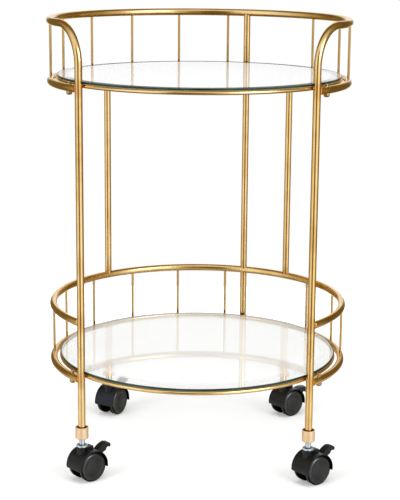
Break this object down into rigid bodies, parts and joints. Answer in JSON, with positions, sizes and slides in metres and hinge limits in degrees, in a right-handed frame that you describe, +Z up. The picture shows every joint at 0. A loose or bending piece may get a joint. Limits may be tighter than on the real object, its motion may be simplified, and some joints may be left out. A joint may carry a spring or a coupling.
{
  "type": "bar cart",
  "caption": "Round tiered bar cart of brass tube with glass shelves, gallery rails on thin rods and swivelling casters with foot brakes.",
  "frame": {"origin": "on the floor, in the middle of the cart's bounding box", "axes": "+X to the cart's right and +Y to its back as seen from the open front of the galleries, +Z up"},
  "size_m": [0.492, 0.477, 0.7325],
  "materials": {
    "brushed_brass": "brushed antique brass",
    "satin_brass": "satin turned brass",
    "bolt_metal": "plated, semi-gloss",
    "clear_glass": "clear, green edge",
    "zinc": "zinc plated",
    "steel": "plain steel",
    "black_plastic": "moulded, satin",
    "wheel_plastic": "moulded, smooth"
  },
  "bodies": {
    "frame": {"top_rail": "brushed_brass", "front_leg_left": "brushed_brass", "front_leg_right": "brushed_brass", "upper_ring": "brushed_brass", "lower_ring": "brushed_brass", "lower_rail": "brushed_brass", "upper_hoop": "brushed_brass", "lower_hoop": "brushed_brass", "upper_rods": "brushed_brass", "lower_rods": "brushed_brass", "back_post_upper": "brushed_brass", "back_post_middle": "brushed_brass", "back_post_lower": "brushed_brass", "rear_post_left": "brushed_brass", "rear_post_right": "brushed_brass", "rear_stub_left": "brushed_brass", "rear_stub_right": "brushed_brass", "leg_joiners": "steel", "ring_spigots": "steel", "ring_bolts": "bolt_metal", "ring_nuts": "bolt_metal", "upper_glass": "clear_glass", "lower_glass": "clear_glass", "stem_washers": "zinc", "front_left_collar": "satin_brass", "front_left_stem": "zinc", "front_right_collar": "satin_brass", "front_right_stem": "zinc", "rear_left_collar": "satin_brass", "rear_left_stem": "zinc", "rear_right_collar": "satin_brass", "rear_right_stem": "zinc"},
    "front_left_caster": {"front_left_hood": "black_plastic", "front_left_axle": "steel", "front_left_lever_pin": "steel"},
    "front_left_wheel_left_body": {"front_left_wheel_left": "wheel_plastic"},
    "front_left_wheel_right_body": {"front_left_wheel_right": "wheel_plastic"},
    "front_left_lever_body": {"front_left_brake_lever": "black_plastic"},
    "front_right_caster": {"front_right_hood": "black_plastic", "front_right_axle": "steel", "front_right_lever_pin": "steel"},
    "front_right_wheel_left_body": {"front_right_wheel_left": "wheel_plastic"},
    "front_right_wheel_right_body": {"front_right_wheel_right": "wheel_plastic"},
    "front_right_lever_body": {"front_right_brake_lever": "black_plastic"},
    "rear_left_caster": {"rear_left_hood": "black_plastic", "rear_left_axle": "steel", "rear_left_lever_pin": "steel"},
    "rear_left_wheel_left_body": {"rear_left_wheel_left": "wheel_plastic"},
    "rear_left_wheel_right_body": {"rear_left_wheel_right": "wheel_plastic"},
    "rear_left_lever_body": {"rear_left_brake_lever": "black_plastic"},
    "rear_right_caster": {"rear_right_hood": "black_plastic", "rear_right_axle": "steel", "rear_right_lever_pin": "steel"},
    "rear_right_wheel_left_body": {"rear_right_wheel_left": "wheel_plastic"},
    "rear_right_wheel_right_body": {"rear_right_wheel_right": "wheel_plastic"},
    "rear_right_lever_body": {"rear_right_brake_lever": "black_plastic"}
  },
  "joints": [
    {"name": "front_left_swivel", "type": "hinge", "parent": "frame", "child": "front_left_caster", "pos_m": [-0.18102, -0.16047, 0.0245], "axis": [0, 0, 1], "continuous": true},
    {"name": "front_left_wheel_left_spin", "type": "hinge", "parent": "front_left_caster", "child": "front_left_wheel_left_body", "pos_m": [-0.17359, -0.15378, 0.0245], "axis": [0.6691, -0.7431, 0], "continuous": true},
    {"name": "front_left_wheel_right_spin", "type": "hinge", "parent": "front_left_caster", "child": "front_left_wheel_right_body", "pos_m": [-0.17359, -0.15378, 0.0245], "axis": [0.6691, -0.7431, 0], "continuous": true},
    {"name": "front_left_brake", "type": "hinge", "parent": "front_left_caster", "child": "front_left_lever_body", "pos_m": [-0.16199, -0.14334, 0.03855], "axis": [0.6691, -0.7431, 0], "range_deg": [-25, 0]},
    {"name": "front_right_swivel", "type": "hinge", "parent": "frame", "child": "front_right_caster", "pos_m": [0.18102, -0.16047, 0.0245], "axis": [0, 0, 1], "continuous": true},
    {"name": "front_right_wheel_left_spin", "type": "hinge", "parent": "front_right_caster", "child": "front_right_wheel_left_body", "pos_m": [0.18879, -0.15418, 0.0245], "axis": [0.6293, -0.7771, 0], "continuous": true},
    {"name": "front_right_wheel_right_spin", "type": "hinge", "parent": "front_right_caster", "child": "front_right_wheel_right_body", "pos_m": [0.18879, -0.15418, 0.0245], "axis": [0.6293, -0.7771, 0], "continuous": true},
    {"name": "front_right_brake", "type": "hinge", "parent": "front_right_caster", "child": "front_right_lever_body", "pos_m": [0.20092, -0.14436, 0.03855], "axis": [0.6293, -0.7771, 0], "range_deg": [-25, 0]},
    {"name": "rear_left_swivel", "type": "hinge", "parent": "frame", "child": "rear_left_caster", "pos_m": [-0.16368, 0.16803, 0.0245], "axis": [0, 0, 1], "continuous": true},
    {"name": "rear_left_wheel_left_spin", "type": "hinge", "parent": "rear_left_caster", "child": "rear_left_wheel_left_body", "pos_m": [-0.15868, 0.17669, 0.0245], "axis": [0.866, -0.5, 0], "continuous": true},
    {"name": "rear_left_wheel_right_spin", "type": "hinge", "parent": "rear_left_caster", "child": "rear_left_wheel_right_body", "pos_m": [-0.15868, 0.17669, 0.0245], "axis": [0.866, -0.5, 0], "continuous": true},
    {"name": "rear_left_brake", "type": "hinge", "parent": "rear_left_caster", "child": "rear_left_lever_body", "pos_m": [-0.15088, 0.1902, 0.03855], "axis": [0.866, -0.5, 0], "range_deg": [-25, 0]},
    {"name": "rear_right_swivel", "type": "hinge", "parent": "frame", "child": "rear_right_caster", "pos_m": [0.15427, 0.17635, 0.0245], "axis": [0, 0, 1], "continuous": true},
    {"name": "rear_right_wheel_left_spin", "type": "hinge", "parent": "rear_right_caster", "child": "rear_right_wheel_left_body", "pos_m": [0.16193, 0.18278, 0.0245], "axis": [0.6428, -0.766, 0], "continuous": true},
    {"name": "rear_right_wheel_right_spin", "type": "hinge", "parent": "rear_right_caster", "child": "rear_right_wheel_right_body", "pos_m": [0.16193, 0.18278, 0.0245], "axis": [0.6428, -0.766, 0], "continuous": true},
    {"name": "rear_right_brake", "type": "hinge", "parent": "rear_right_caster", "child": "rear_right_lever_body", "pos_m": [0.17388, 0.19281, 0.03855], "axis": [0.6428, -0.766, 0], "range_deg": [0, 25]}
  ]
}
